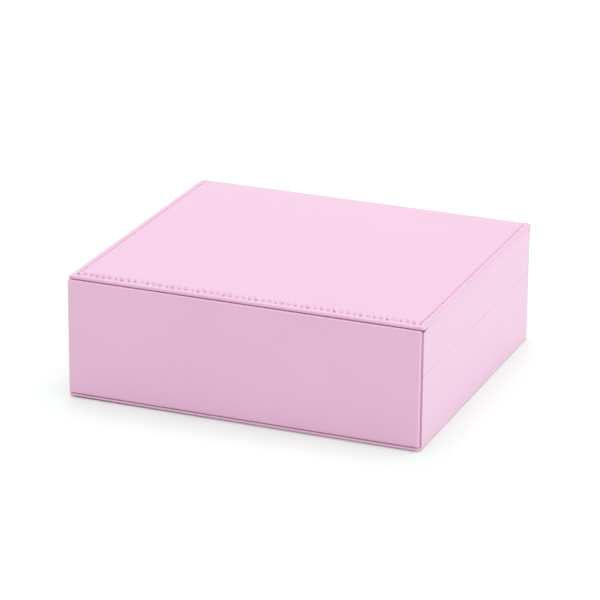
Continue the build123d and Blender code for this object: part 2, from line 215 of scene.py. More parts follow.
def swept_section(section, axis_values, place):
    """A closed section carried along an axis; place(point, value) gives each vertex."""
    loops = [np.array([place(point, value) for point in section]) for value in axis_values]
    return loft(loops, cap=(True, True))


def rounded_section(u0, u1, v0, v1, radii, count=5):
    """A rectangle with its own radius at each corner: (u0 v0), (u1 v0), (u1 v1), (u0 v1)."""
    a, b, c, d = radii
    return np.vstack([
        arc((u0 + a, v0 + a), a, 180, 270, count),
        arc((u1 - b, v0 + b), b, 270, 360, count),
        arc((u1 - c, v1 - c), c, 0, 90, count),
        arc((u0 + d, v1 - d), d, 90, 180, count),
    ])


# ======================================================================================
# Materials
# ======================================================================================
def srgb(*values):
    """A linear colour from 0-255 sRGB values."""
    linear = [((v / 255 + 0.055) / 1.055) ** 2.4 if v > 10 else v / 255 / 12.92 for v in values]
    return (*linear, 1.0)


class Recipe:
    """A node material under construction, with short calls for the nodes that repeat."""

    def __init__(self, name, roughness, **shader_values):
        self.material = bpy.data.materials.new(name)
        self.material.use_nodes = True
        self.tree = self.material.node_tree
        self.shader = self.tree.nodes["Principled BSDF"]
        self.shader.inputs["Roughness"].default_value = roughness
        for socket, value in shader_values.items():
            self.shader.inputs[socket.replace("_", " ")].default_value = value
        self.place = self.node("ShaderNodeTexCoord").outputs["Object"]

    def node(self, kind, **values):
        made = self.tree.nodes.new(kind)
        for key, value in values.items():
            if hasattr(made, key):
                setattr(made, key, value)
            else:
                made.inputs[key.replace("_", " ")].default_value = value
        return made

    def link(self, source, target):
        self.tree.links.new(source, target)

    def noise(self, scale, detail=3.0, roughness=0.5):
        made = self.node("ShaderNodeTexNoise", Scale=scale, Detail=detail, Roughness=roughness)
        self.link(self.place, made.inputs["Vector"])
        return made.outputs["Fac"]

    def cells(self, scale, feature="F1"):
        made = self.node("ShaderNodeTexVoronoi", feature=feature, Scale=scale)
        self.link(self.place, made.inputs["Vector"])
        return made.outputs["Distance"]

    def ramp(self, source, stops):
        made = self.node("ShaderNodeValToRGB")
        elements = made.color_ramp.elements
        elements[0].position, elements[0].color = stops[0]
        elements[1].position, elements[1].color = stops[-1]
        for position, colour in stops[1:-1]:
            elements.new(position).color = colour
        self.link(source, made.inputs["Fac"])
        return made.outputs["Color"]

    def span(self, source, low, high, to_low, to_high):
        made = self.node("ShaderNodeMapRange")
        for socket, value in zip(("From Min", "From Max", "To Min", "To Max"), (low, high, to_low, to_high)):
            made.inputs[socket].default_value = value
        self.link(source, made.inputs["Value"])
        return made.outputs["Result"]

    def mix(self, factor, a, b):
        made = self.node("ShaderNodeMix", data_type="RGBA")
        self.link(factor, made.inputs["Factor"])
        for socket, value in (("A", a), ("B", b)):
            target = [s for s in made.inputs if s.name == socket and s.type == "RGBA"][0]
            if isinstance(value, tuple):
                target.default_value = value
            else:
                self.link(value, target)
        return [s for s in made.outputs if s.type == "RGBA"][0]

    def bump(self, layers):
        """Stacked bumps, coarse first: (height source, strength, distance in metres)."""
        normal = None
        for height, strength, distance in layers:
            made = self.node("ShaderNodeBump", Strength=strength, Distance=distance)
            self.link(height, made.inputs["Height"])
            if normal is not None:
                self.link(normal, made.inputs["Normal"])
            normal = made.outputs["Normal"]
        self.link(normal, self.shader.inputs["Normal"])

    def finish(self, colour, roughness=None):
        self.link(colour, self.shader.inputs["Base Color"])
        if roughness is not None:
            self.link(roughness, self.shader.inputs["Roughness"])
        return self.material


def leather_material(name, light, dark, grain=1.0, roughness=(0.36, 0.5)):
    """Smooth coated leather: fine pebble, faint pores, soft cloudiness in colour and gloss."""
    recipe = Recipe(name, sum(roughness) / 2, Specular_IOR_Level=1.0, Sheen_Weight=0.8,
                    Sheen_Roughness=0.35)
    cloud = recipe.noise(18, 4, 0.55)
    mottle = recipe.noise(420, 3, 0.6)
    pebble = recipe.cells(1150, "SMOOTH_F1")
    pores = recipe.noise(3200, 2, 0.7)
    colour = recipe.ramp(cloud, [(0.3, dark), (0.7, light)])
    fleck = recipe.ramp(mottle, [(0.38, dark), (0.6, light)])
    blended = recipe.mix(recipe.span(pebble, 0.0, 1.0, 0.35, 0.6), colour, fleck)
    gloss = recipe.span(mottle, 0.3, 0.7, *roughness)
    recipe.bump([
        (cloud, 0.25, 0.0002),
        (pebble, 0.32 * grain, 0.00006),
        (pores, 0.22 * grain, 0.00003),
    ])
    return recipe.finish(blended, gloss)


def suede_material(name, light, dark, nap=1.0):
    """Short-pile suede: brushed patches, fibre noise and a strong soft sheen."""
    recipe = Recipe(name, 0.92, Specular_IOR_Level=0.15, Sheen_Weight=0.55, Sheen_Roughness=0.55)
    patches = recipe.noise(55, 5, 0.62)
    fibres = recipe.noise(5200, 2, 0.75)
    pile = recipe.cells(2600)
    base = recipe.ramp(patches, [(0.32, dark), (0.68, light)])
    speck = recipe.ramp(fibres, [(0.35, dark), (0.65, light)])
    colour = recipe.mix(recipe.span(pile, 0.0, 0.8, 0.25, 0.7), base, speck)
    recipe.bump([
        (patches, 0.3 * nap, 0.0004),
        (pile, 0.5 * nap, 0.00012),
        (fibres, 0.45 * nap, 0.00008),
    ])
    return recipe.finish(colour, recipe.span(patches, 0.3, 0.7, 0.86, 0.97))


def thread_material(name, light, dark):
    """Bonded sewing thread with a fine ply."""
    recipe = Recipe(name, 0.5, Specular_IOR_Level=0.5, Sheen_Weight=0.3)
    ply = recipe.noise(2600, 2, 0.6)
    colour = recipe.ramp(ply, [(0.35, dark), (0.65, light)])
    recipe.bump([(ply, 0.5, 0.00006)])
    return recipe.finish(colour, recipe.span(ply, 0.3, 0.7, 0.42, 0.62))


def metal_material(name, light, dark, roughness=(0.2, 0.36)):
    """Nickel-plated sheet steel with fine brushing and faint tarnish."""
    recipe = Recipe(name, 0.3, Metallic=1.0)
    brush = recipe.noise(900, 6, 0.65)
    cloud = recipe.noise(90, 3, 0.5)
    colour = recipe.ramp(cloud, [(0.3, dark), (0.7, light)])
    recipe.bump([(brush, 0.12, 0.00004)])
    return recipe.finish(colour, recipe.span(brush, 0.3, 0.7, *roughness))


def board_material(name, light, dark):
    """Raw fibreboard: pressed fibres and small chips."""
    recipe = Recipe(name, 0.85, Specular_IOR_Level=0.2)
    fibre = recipe.noise(1400, 5, 0.7)
    chips = recipe.cells(420)
    colour = recipe.mix(recipe.span(chips, 0.0, 1.0, 0.2, 0.8),
                        recipe.ramp(fibre, [(0.3, dark), (0.7, light)]), light)
    recipe.bump([(chips, 0.3, 0.0001), (fibre, 0.5, 0.00008)])
    return recipe.finish(colour, recipe.span(fibre, 0.3, 0.7, 0.78, 0.92))


def mirror_material(name):
    """Silvered glass with a trace of haze, so that it isn't a perfect reflector."""
    recipe = Recipe(name, 0.03, Metallic=1.0)
    haze = recipe.noise(35, 3, 0.5)
    colour = recipe.ramp(haze, [(0.3, srgb(226, 231, 232)), (0.7, srgb(240, 243, 243))])
    return recipe.finish(colour, recipe.span(haze, 0.35, 0.75, 0.015, 0.05))


PINK = srgb(239, 188, 219)
PINK_DEEP = srgb(235, 183, 215)
leather = leather_material("pink_leather", PINK, PINK_DEEP)
leather_fine = leather_material("pink_leather_strip", PINK, PINK_DEEP, grain=0.8)
suede = suede_material("rose_suede", srgb(226, 188, 203), srgb(214, 172, 189))
roll_suede = suede_material("rose_suede_rolls", srgb(229, 192, 207), srgb(217, 176, 193), nap=1.2)
felt = suede_material("grey_rose_felt", srgb(188, 168, 178), srgb(164, 146, 156), nap=1.6)
thread = thread_material("pink_thread", srgb(234, 184, 214), srgb(220, 166, 198))
# Dark plum standing in for shade: it shows as painted shade in the needle holes and in the notch at the
# front right corner.
painted_shade_plum = thread_material("plum_painted_shade", srgb(146, 62, 108), srgb(126, 52, 92))
nickel = metal_material("nickel_steel", (0.74, 0.73, 0.71, 1), (0.62, 0.61, 0.6, 1))
magnet_metal = metal_material("magnet_nickel", (0.6, 0.6, 0.62, 1), (0.48, 0.48, 0.5, 1), (0.28, 0.45))
fibreboard = board_material("case_fibreboard", srgb(186, 160, 128), srgb(150, 124, 96))
silvering = mirror_material("silvered_mirror")

carried_over = {
    "case_board": fibreboard,
    "steel": nickel,
    "screws": nickel,
    "magnet": magnet_metal,
}
slot_of = {part["node"]: part["material_slot"] for part in record["subparts"]}
for node_name, node_object in frame["nodes"].items():
    finish = carried_over.get(slot_of[node_name])
    if finish:
        node_object.data.materials.clear()
        node_object.data.materials.append(finish)


# ======================================================================================
# Stitches
# ======================================================================================
def stitch_positions(start, end, pitch):
    """Middle points, direction and true pitch of the stitches that fit evenly between two points."""
    start, end = np.array(start, float), np.array(end, float)
    length = np.linalg.norm(end - start)
    count = round(length / pitch)
    direction = (end - start) / length
    middles = [start + direction * length * (index + 0.5) / count for index in range(count)]
    return middles, direction, length / count


def stitch_run(name, runs, up, material, body, fill=0.6):
    """Separate twisted stitches along straight runs, each diving into its needle holes.

    fill: the share of each pitch that the thread covers.
    """
    up = np.array(up, float)
    verts, faces = [], []
    rings, sides = 11, 8
    for start, end in runs:
        middles, direction, step = stitch_positions(start, end, STITCH_PITCH)
        across = np.cross(up, direction)
        for order, middle in enumerate(middles):
            base = len(verts)
            half = step * fill / 2
            for ring in range(rings):
                t = ring / (rings - 1) * 2 - 1
                dip = -0.55 * THREAD_R - 1.6 * THREAD_R * abs(t) ** 5
                size = THREAD_R * (1 - 0.35 * abs(t) ** 6)
                centre = middle + direction * (half * t) + up * (dip + 0.35 * THREAD_R)
                for side in range(sides):
                    angle = math.tau * side / sides
                    ply = 1 + 0.1 * math.cos(2 * (angle - 3.0 * t + order))
                    offset = across * math.cos(angle) * size * ply + up * math.sin(angle) * size * ply * 0.85
                    verts.append(centre + offset)
            for ring in range(rings - 1):
                for side in range(sides):
                    a = base + ring * sides + side
                    b = base + ring * sides + (side + 1) % sides
                    faces.append((a, b, b + sides, a + sides))
            faces.append(tuple(base + side for side in range(sides)))
            faces.append(tuple(base + (rings - 1) * sides + side for side in range(sides)))
    return make(name, verts, faces, material, body)


# ======================================================================================
# Outside leather
# ======================================================================================
stitch_x = HALF_W - STITCH_INSET
stitch_front = SKIN_FRONT_Y + STITCH_INSET + 0.6
stitch_back = BACK_Y - 1.6


def bell(values, width):
    """A smooth bump of height 1 at 0."""
    return np.exp(-((np.asarray(values) / width) ** 2))


def stitch_relief(x, y):
    """How far the sewn leather is pulled down: a trough along the rows, needle holes, gathered sides."""
    def row(across, along, length, trough_depth, hole_depth, lumps):
        count = round(length / STITCH_PITCH)
        phase = along / length * count
        hole = np.abs((phase + 0.5) % 1 - 0.5) * length / count
        inside = ((along > -0.6) & (along < length + 0.6)).astype(float)
        trough = trough_depth * bell(across, 0.6)
        pits = hole_depth * bell(across, 0.62) * bell(hole, 0.7)
        side = bell(np.abs(across) - 2.0, 1.5)
        uneven = np.sin(phase * 2.3 + 1.0) * np.sin(phase * 0.73 + 0.4)
        gather = lumps * (1 + 0.6 * uneven) * side * np.cos(math.tau * phase + 0.8 * uneven + 0.7 * across)
        finer = np.sin(math.tau * 1.9 * phase + 2.0 * across + 2.0 * uneven) * bell(across, 3.2)
        return (trough + pits + gather + 0.3 * lumps * finer) * inside

    depth = row(y - stitch_front, x + stitch_x, 2 * stitch_x, 0.14, 0.95, 0.55)
    for side in (-1, 1):
        along, length = y - stitch_front, stitch_back - stitch_front
        depth = np.maximum(depth, row(x - side * stitch_x, along, length, 0.05, 1.25, 0.1))
    return depth


def top_panel():
    """The top leather: turned edge, sewn troughs on three sides, a slight crown."""
    steps_per_stitch = 8
    front_y = PANEL_RECT[2]
    counts = (int(2 * HALF_W / STITCH_PITCH * steps_per_stitch),
              int((BACK_Y - front_y) / STITCH_PITCH * steps_per_stitch), 9)
    front_edge, side_edge, crown, turn_in = 1.4, 0.95, 0.22, 0.9
    surface = TOP_Z - crown
    rim = rounded_loop(PANEL_RECT, 0.0, PANEL_RADII, counts)
    inwards = (rounded_loop(PANEL_RECT, turn_in, PANEL_RADII, counts) - rim) / turn_in
    near_corner = np.clip((HALF_W - np.abs(rim[:, 0]) - 1.0) / 7.0, 0.0, 1.0)
    at_front = (rim[:, 1] < front_y + 0.01) * (3 * near_corner ** 2 - 2 * near_corner ** 3)
    edge = side_edge + (front_edge - side_edge) * at_front

    def crowned(xy):
        """Height of the stuffed surface: it rises gently from every edge."""
        from_edge = np.minimum(HALF_W - np.abs(xy[:, 0]), np.minimum(xy[:, 1] - front_y, BACK_Y - xy[:, 1]))
        crown_reach = 34.0
        t = np.clip(from_edge / crown_reach, 0.0, 1.0)
        return surface + crown * (1 - (1 - t) ** 2) - stitch_relief(xy[:, 0], xy[:, 1])

    roll = np.clip((SKIN_FRONT_Y + 0.9 - rim[:, 1]) / 0.8, 0.0, 1.0)
    under = PANEL_Z + (ROLL_UNDER_Z - PANEL_Z) * roll
    setback = (SKIN_FRONT_Y - front_y + 0.05) * roll
    loops = [at_height(rim + inwards * turn_in + np.column_stack([0 * setback, setback]), PANEL_Z + 0.06)]
    underside = [(turn_in, 0.02), (0.3 + 0.1 * roll, 0.01), (0.03 + 0.12 * roll, 0.01 + 0.06 * roll),
                 (0.0, 0.05 + 0.2 * roll)]
    for inset, rise in underside:
        place = rim + inwards * np.broadcast_to(inset, len(rim))[:, None]
        loops.append(np.column_stack([place, under + rise]))
    for turn in np.linspace(0.0, math.pi / 2, 8):
        reach = (edge * (1 - math.cos(turn)))[:, None]
        drop = edge * (1 - math.sin(turn))
        place = rim + inwards * reach
        loops.append(np.column_stack([place, crowned(place) - drop]))
    sewn_margin = np.arange(1.5, 8.3, 0.22)
    plain_middle = [8.8, 9.4, 10.4, 11.5, 13.0, 18.0, 26.0, 36.0, 50.0, 66.0, 84.0, 100.0]
    for inset in [*sewn_margin, *plain_middle]:
        place = rounded_loop(PANEL_RECT, inset, PANEL_RADII, counts)
        loops.append(np.column_stack([place, crowned(place)]))
    verts, faces = loft(loops, cap=(False, True))
    obj = make("top_panel_leather", verts, faces, leather, "lid")
    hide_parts("top_leather")
    return obj


def lid_board():
    """The board inside the top leather, thinned along its margin where the seam is sewn."""
    lo, hi = box_mm("top_board")
    rect = (lo[0], hi[0], lo[1], hi[1])
    profile = [(0.1, lo[2]), (0.0, lo[2] + 0.1), (0.0, hi[2] - 1.4), (0.2, hi[2] - 1.3),
               (9.0, hi[2] - 1.25), (11.0, hi[2] - 0.3), (12.0, hi[2] - 0.2)]
    verts, faces = loft(stacked(rect, profile, 1.5, (60, 50, 5)), cap=(True, True))
    obj = make("lid_top_board", verts, faces, fibreboard, "lid")
    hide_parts("top_board")
    return obj


def painted_seam_shade():
    """A dark plum sheet between board and top leather: painted shade, seen only in the needle holes and the
    front right corner.
    """
    half, thickness, top = 0.65, 0.25, TOP_Z - 0.7
    front, back = stitch_front - half, stitch_back
    side, inner = stitch_x + half, stitch_x - half
    outline = np.array([(-side, back), (-side, front), (side, front), (side, back), (inner, back),
                        (inner, front + 2 * half), (-inner, front + 2 * half), (-inner, back)])
    verts, faces = loft([at_height(outline, top - thickness), at_height(outline, top)], cap=(True, True))
    # The corner block fills the notch at the front right corner where the leather falls short: a dark piece
    # of painted shade.
    corner_rect = (HALF_W - 0.68, HALF_W - 0.3, SKIN_FRONT_Y + 0.3, SKIN_FRONT_Y + 5.0)
    corner_profile = [(0.0, lid_hi[2] - 1.2), (0.0, lid_hi[2] - 0.02)]
    more, more_faces = loft(stacked(corner_rect, corner_profile, 0.1, (2, 6, 2)), cap=(True, True))
    faces += [tuple(index + len(verts) for index in face) for face in more_faces]
    return make("painted_shade_under_seam", np.vstack([verts, more]), faces, painted_shade_plum, "lid", smooth=False)


def rim_openness(points):
    """How far the two halves' leather rolls away from the parting line: it closes tight in places."""
    x, y = points[:, 0], points[:, 1]
    on_side = 0.03 + 0.3 * bell(y - 10.0, 16.0) + 0.1 * np.clip((y - 62.0) / 30.0, 0.0, 1.0)
    on_side += 0.05 * bell(y + 88.0, 22.0)
    drift = [noise.noise(Vector((value * 0.05, side, 0))) for side, value in zip(np.sign(x), y)]
    on_side += 0.02 * np.array(drift)
    corner = 0.55 * bell(np.hypot(np.abs(x) - HALF_W, y - SKIN_FRONT_Y), 2.0)
    return np.where(np.abs(x) > HALF_W - 1.5, on_side, 0.3) + corner


def shell(name, body, low, high, rim_at, node):
    """Leather round the front and sides of one half, turned over the rim of its boards."""
    out = 1 if rim_at == "bottom" else -1
    rim_z = low if rim_at == "bottom" else high
    far_z = high if rim_at == "bottom" else low
    fold = 0.3
    inner = LEATHER + WALL + 0.12
    counts = (120, 110, 6)
    outline = open_loop(CASE_RECT, 0.0, FRONT_RADIUS, counts, SEAM_Y)
    soft = rim_openness(outline)
    max_inset = 0.6
    inwards = (open_loop(CASE_RECT, max_inset, FRONT_RADIUS, counts, SEAM_Y) - outline) / max_inset

    def ring(inset, z):
        inset = np.broadcast_to(inset, len(outline))[:, None]
        place = outline + inwards * np.minimum(inset, max_inset)
        return np.column_stack([place, np.broadcast_to(z, len(outline))])

    def fade_out(distance, reach):
        return np.clip(1 - distance / reach, 0, 1)

    # The leather falls short of the top panel at the front right corner and a little at the rear.
    from_corner = np.hypot(np.abs(outline[:, 0]) - HALF_W, outline[:, 1] - SKIN_FRONT_Y)
    from_rear = np.abs(outline[:, 1] - SEAM_Y)
    on_right = (outline[:, 0] > 0).astype(float)
    notch = on_right * (0.95 * fade_out(from_corner, 8.0) ** 1.1 + 0.32 * fade_out(from_corner, 27.0))
    notch += 0.5 * fade_out(from_rear, 5.0)

    loops = []
    if rim_at == "top":
        foot = 0.25
        loops += [ring(foot - foot * math.cos(a), far_z + foot - foot * math.sin(a))
                  for a in np.linspace(math.pi / 2, 0, 4)]
        body_levels = np.linspace(far_z + foot + 1.0, rim_z - 1.8, 12)
    else:
        loops += [ring(0.45, far_z - notch), ring(0.03, far_z - notch), ring(0.0, far_z - 0.04 - notch)]
        near_notch, plain = np.linspace(far_z - 1.4, far_z - 5.0, 5), np.linspace(far_z - 8, rim_z + 1.8, 6)
        body_levels = np.concatenate([near_notch, plain])
    loops += [ring(0.0, z) for z in body_levels]
    loops += [ring(0.0, rim_z + out * (soft + 0.35))]
    loops += [ring(soft - soft * math.cos(a), rim_z + out * (soft - soft * math.sin(a)))
              for a in np.linspace(0, math.pi / 2, 6)]

    def over_rim(inset, z):
        return at_height(open_loop(CASE_RECT, inset, FRONT_RADIUS, counts, SEAM_Y), z)

    inside = [(inner - fold + fold * math.sin(a), rim_z + out * (fold - fold * math.cos(a)))
              for a in np.linspace(0, math.pi / 2, 4)]
    inside += [(inner, rim_z + out * 1.0), (inner - 0.1, rim_z + out * 1.0),
               (inner - 0.1, rim_z + out * 0.12), (LEATHER - 0.02, rim_z + out * 0.12)]
    loops += [over_rim(1.0, rim_z)] + [over_rim(inset, z) for inset, z in inside]
    loops.append(over_rim(LEATHER - 0.02, far_z + (0.04 if rim_at == "bottom" else 0.0)))
    if rim_at == "bottom":
        foot = over_rim(LEATHER - 0.07, far_z)
        foot[:, 2] -= notch
        loops.append(foot)
    verts, faces = loft(loops, wrap_loop=False, wrap_profile=True)
    obj = make(name, verts, faces, leather, body)
    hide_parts(node)
    return obj


def rear_spine():
    """One leather over the back of both halves, pressed to a crease over the hinge."""
    crease, crease_depth, crease_width = 4.6, 0.28, 0.55
    fine = np.linspace(PARTING_Z - 6.5, PARTING_Z + 6.5, 53)
    low, high = base_lo[2], lid_hi[2] - 0.05
    below, above = np.linspace(low + 0.6, fine[0] - 1, 14), np.linspace(fine[-1] + 1, high, 8)
    levels = np.concatenate([below, fine, above])
    counts = (120, 4, 9)
    seam, foot_radius = back_lo[1] + 0.01, 0.6

    def ring(inset, z):
        return at_height(open_loop(CASE_RECT, inset, REAR_RADIUS, counts, seam, front=False), z)

    outer = []
    for z in levels:
        press = sum(crease_depth * math.exp(-(((z - PARTING_Z - side * crease) / crease_width) ** 2))
                    for side in (-1, 1))
        outer.append(ring(press, z))
    foot = [ring(foot_radius * (1 - math.cos(a)), low + foot_radius * (1 - math.sin(a)))
            for a in (1.5, 1.0, 0.5)]
    inner = [ring(LEATHER - 0.04, z) for z in levels[::-1]]
    loops = foot + outer + inner + [ring(LEATHER - 0.04, low)]
    verts, faces = loft(loops, wrap_loop=False, wrap_profile=True)
    obj = make("rear_spine_leather", verts, faces, leather)
    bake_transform(obj)
    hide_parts("base_back_leather", "lid_back_leather")
    return obj


def rear_rim(name, body, out):
    """Leather over the back wall's edge, between the hinges: flat in front of the pins, bevelled behind."""
    edge = PARTING_Z + out * 0.13
    front = back_board_lo[1] - 0.1
    slope = 1.28
    back = back_board_hi[1] - 0.08
    section = [(front, edge + out * 0.9), (front, edge + out * 0.15), (front + 0.15, edge), (HINGE_Y, edge),
               (back, edge + out * slope * (back - HINGE_Y)),
               (back, edge + out * (slope * (back - HINGE_Y) + 0.1)),
               (HINGE_Y - 0.05, edge + out * 0.1), (front + 0.08, edge + out * 0.1),
               (front + 0.08, edge + out * 0.9)]
    inner_x = side_board_lo[0] - 0.15
    hinge_half, gap = 15.0, 15.4
    hinge_x = box_mm("hinge_pins")[1][0] - hinge_half
    spans = ((-inner_x, -hinge_x - gap), (-hinge_x + gap, hinge_x - gap), (hinge_x + gap, inner_x))
    verts, faces = [], []
    for x0, x1 in spans:
        part, part_faces = swept_section(section, np.linspace(x0, x1, 12), lambda p, x: (x, p[0], p[1]))
        faces += [tuple(index + len(verts) for index in face) for face in part_faces]
        verts += part.tolist()
    obj = make(name, verts, faces, leather_fine, body)
    return obj


def bottom_panel():
    """The leather-covered bottom board, whose front edge stands out under the flap as a lip."""
    lip_left, lip_right, body_x = -HALF_W + 0.5, HALF_W - 0.02, board_hi[0] - 0.03
    step_y = SKIN_FRONT_Y - 0.1
    front_y = board_lo[1]
    back_y = board_hi[1] - 0.03
    left_corner, right_corner, rear, count = 2.4, 3.0, REAR_RADIUS - LEATHER, 9
    points, normals = [], []

    def round_corner(centre, radius, start, end):
        for point in arc(centre, radius, start, end, count):
            points.append(point)
            normals.append((point - np.array(centre)) / radius)

    def straight(x, y, nx, ny):
        points.append(np.array((x, y)))
        normals.append(np.array((nx, ny)))

    for x in np.linspace(lip_left + left_corner + 1, lip_right - right_corner - 1, 40):
        straight(x, front_y, 0, -1)
    round_corner((lip_right - right_corner, front_y + right_corner), right_corner, -90, 0)
    straight(lip_right, step_y, 1, 1)
    straight(body_x, step_y, 1, 1)
    round_corner((body_x - rear, back_y - rear), rear, 0, 90)
    round_corner((-body_x + rear, back_y - rear), rear, 90, 180)
    straight(-body_x, step_y, -1, 1)
    straight(lip_left - 0.001, step_y, -1, 1)
    round_corner((lip_left + left_corner, front_y + left_corner), left_corner, 180, 270)
    points, normals = np.array(points), np.array(normals, float)
    at_lip = points[:, 1] < step_y - 0.05
    low, high = board_lo[2] + np.where(at_lip, 0.85, 0.4), board_hi[2] + 0.32
    over, under = 0.5, 0.3
    angles = np.linspace(0, math.pi / 2, 7)
    lower = [(under - under * math.sin(a), low + under - under * math.cos(a)) for a in angles]
    upper = [(over - over * math.cos(a), high - over + over * math.sin(a)) for a in angles]
    loops = [at_height(points - normals * inset, z) for inset, z in [(3.4, board_lo[2])] + lower + upper]
    verts, faces = loft(loops, cap=(True, True))
    obj = make("bottom_panel_leather", verts, faces, leather, "base")
    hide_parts("bottom_board")
    return obj


def bottom_felt():
    """Felt sheet under the base with softened edges."""
    rect = (felt_lo[0], felt_hi[0], felt_lo[1], felt_hi[1])
    profile = [(0.25, 0.02), (0.02, 0.12), (0.0, 0.25), (0.1, felt_hi[2])]
    verts, faces = loft(stacked(rect, profile, 4.0, (40, 36, 6)), cap=(True, True))
    obj = make("base_felt_sheet", verts, faces, felt, "base")
    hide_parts("bottom_felt")
    return obj


def flap_cover():
    """The flap's leather, turned round its board: soft edges, a faint line where the halves part behind."""
    over_right, over_top, pucker_x = 0.35, 0.3, 106.6
    x0, x1, z0, z1 = flap_lo[0], flap_hi[0] + over_right, flap_lo[2], flap_hi[2] + over_top
    front, back = flap_lo[1] + 0.06, facing_hi[1] - 0.1
    rear = 0.45
    fine = np.linspace(PARTING_Z - 2.6, PARTING_Z + 4.4, 15)
    plain_low, plain_high = np.linspace(z0 + 3, fine[0] - 2, 14), np.linspace(fine[-1] + 2, z1 - 3, 9)
    ends = 1 - np.cos(np.linspace(0.0, math.pi / 2, 8))
    low_radius, top_radius, low_edge, top_edge = 0.5, 0.9, 0.6, 1.05
    levels = np.concatenate([z0 + low_radius * ends, [z0 + 0.8, z0 + 1.7], plain_low, fine, plain_high,
                             [z1 - 1.7], z1 - top_radius * ends[::-1]])
    loops = []
    for z in levels:
        to_end = min(z - z0, z1 - z)
        end_radius, edge = (low_radius, low_edge) if z < PARTING_Z else (top_radius, top_edge)
        lift = max(end_radius - to_end, 0.0)
        corner = end_radius - math.sqrt(max(end_radius ** 2 - lift ** 2, 0.0))
        tuck = edge - math.sqrt(max(edge ** 2 - max(edge - to_end, 0.0) ** 2, 0.0))
        rect = (x0 + corner, x1 - corner, front + tuck, back - tuck * 0.5)
        depth = (rect[3] - rect[2]) / 2 - 0.02
        side_radius = min(top_edge, depth)
        radii = (side_radius, side_radius, min(rear, depth), min(rear, depth))
        loop = rounded_loop(rect, 0.0, radii, (150, 2, 6))
        x, y = loop[:, 0], loop[:, 1]
        on_face = (y < rect[2] + 0.02).astype(float)
        fade = np.clip((60.0 - x) / 120.0, 0.15, 1.0)
        ridge, dip = bell(z - PARTING_Z - 0.9, 0.8), bell(z - PARTING_Z + 0.5, 0.8)
        imprint = -0.045 * ridge * fade + 0.03 * dip * fade
        swell = -0.03 * np.array([noise.noise(Vector((value / 45, z / 30, 2.0))) for value in x])
        pucker = bell(x - pucker_x, 1.0) * bell(z1 - z, 0.9)
        forward = on_face * (imprint + swell - 0.3 * pucker)
        loops.append(np.column_stack([x, y + forward, z + 0.05 * pucker]))
    verts, faces = loft(loops, cap=(True, True))
    obj = make("flap_cover_leather", verts, faces, leather, "flap")
    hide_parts("flap_leather")
    return obj


def flap_lining():
    """The flap's suede facing, inset so that a margin of leather shows round it."""
    margin = 4.0
    rect = (facing_lo[0] + margin, facing_hi[0] - margin, facing_lo[2] + margin, facing_hi[2] - margin)
    front, back = facing_hi[1] - 0.3, facing_hi[1] + 0.12
    profile = [(0.1, front + 0.03), (0.0, back - 0.2), (0.12, back - 0.05), (0.5, back),
               (6.0, back - 0.03), (14.0, back), (24.0, back - 0.02), (32.0, back)]
    loops = []
    for inset, y in profile:
        loop = rounded_loop(rect, inset, (1.5,) * 4, (90, 36, 6))
        loops.append(np.column_stack([loop[:, 0], np.full(len(loop), y), loop[:, 1]]))
    verts, faces = loft(loops, cap=(True, True))
    obj = make("flap_inner_suede", verts, faces, suede, "flap")
    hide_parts("flap_facing")
    return obj


def flap_hinge():
    """The folded leather strip in the groove above the flap."""
    lid_leg_lo, lid_leg_hi = box_mm("flap_hinge_lid_strip")
    flap_leg_lo, flap_leg_hi = box_mm("flap_hinge_flap_strip")
    outer = (lid_leg_hi[1] - flap_leg_lo[1]) / 2
    inner = (lid_leg_lo[1] - flap_leg_hi[1]) / 2
    middle = (lid_leg_lo[1] + flap_leg_hi[1]) / 2
    top, low = lid_leg_hi[2] + 0.35, lid_leg_lo[2]
    section = np.vstack([
        line((middle + outer, low), (middle + outer, top), 6),
        arc((middle, top), outer, 0, 180, 13),
        line((middle - outer, top - 0.2), (middle - outer, low), 6),
        [(middle - outer, low), (middle - inner, low)],
        line((middle - inner, low + 0.2), (middle - inner, top), 6),
        arc((middle, top), inner, 180, 0, 7),
        line((middle + inner, top - 0.2), (middle + inner, low), 6),
        [(middle + inner, low)],
    ])
    xs = np.linspace(lid_leg_lo[0], lid_leg_hi[0], 160)
    verts, faces = swept_section(section, xs, lambda p, x: (x, p[0], p[1] + 0.05 * math.sin(x * 0.21)))
    obj = make("flap_hinge_leather", verts, faces, leather_fine)
    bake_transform(obj)
    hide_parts("flap_hinge_lid_strip", "flap_hinge_flap_strip")
    return obj


top_panel()
lid_board()
painted_seam_shade()
shell("lid_shell_leather", "lid", PARTING_Z + 0.03, lid_hi[2] - 0.03, "bottom", "lid_side_leather")
shell("base_shell_leather", "base", base_lo[2], PARTING_Z - 0.03, "top", "base_side_leather")
rear_spine()
rear_rim("lid_rear_rim_leather", "lid", 1)
rear_rim("base_rear_rim_leather", "base", -1)
bottom_panel()
bottom_felt()
flap_cover()
flap_lining()
flap_hinge()

thread_z = TOP_Z - THREAD_R
stitches = stitch_run("top_stitches", [
    ((-stitch_x, stitch_front, thread_z), (-stitch_x, stitch_back, thread_z)),
    ((-stitch_x, stitch_front, thread_z), (stitch_x, stitch_front, thread_z)),
    ((stitch_x, stitch_front, thread_z), (stitch_x, stitch_back, thread_z)),
], (0, 0, 1), thread, "lid")
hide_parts("top_stitching")


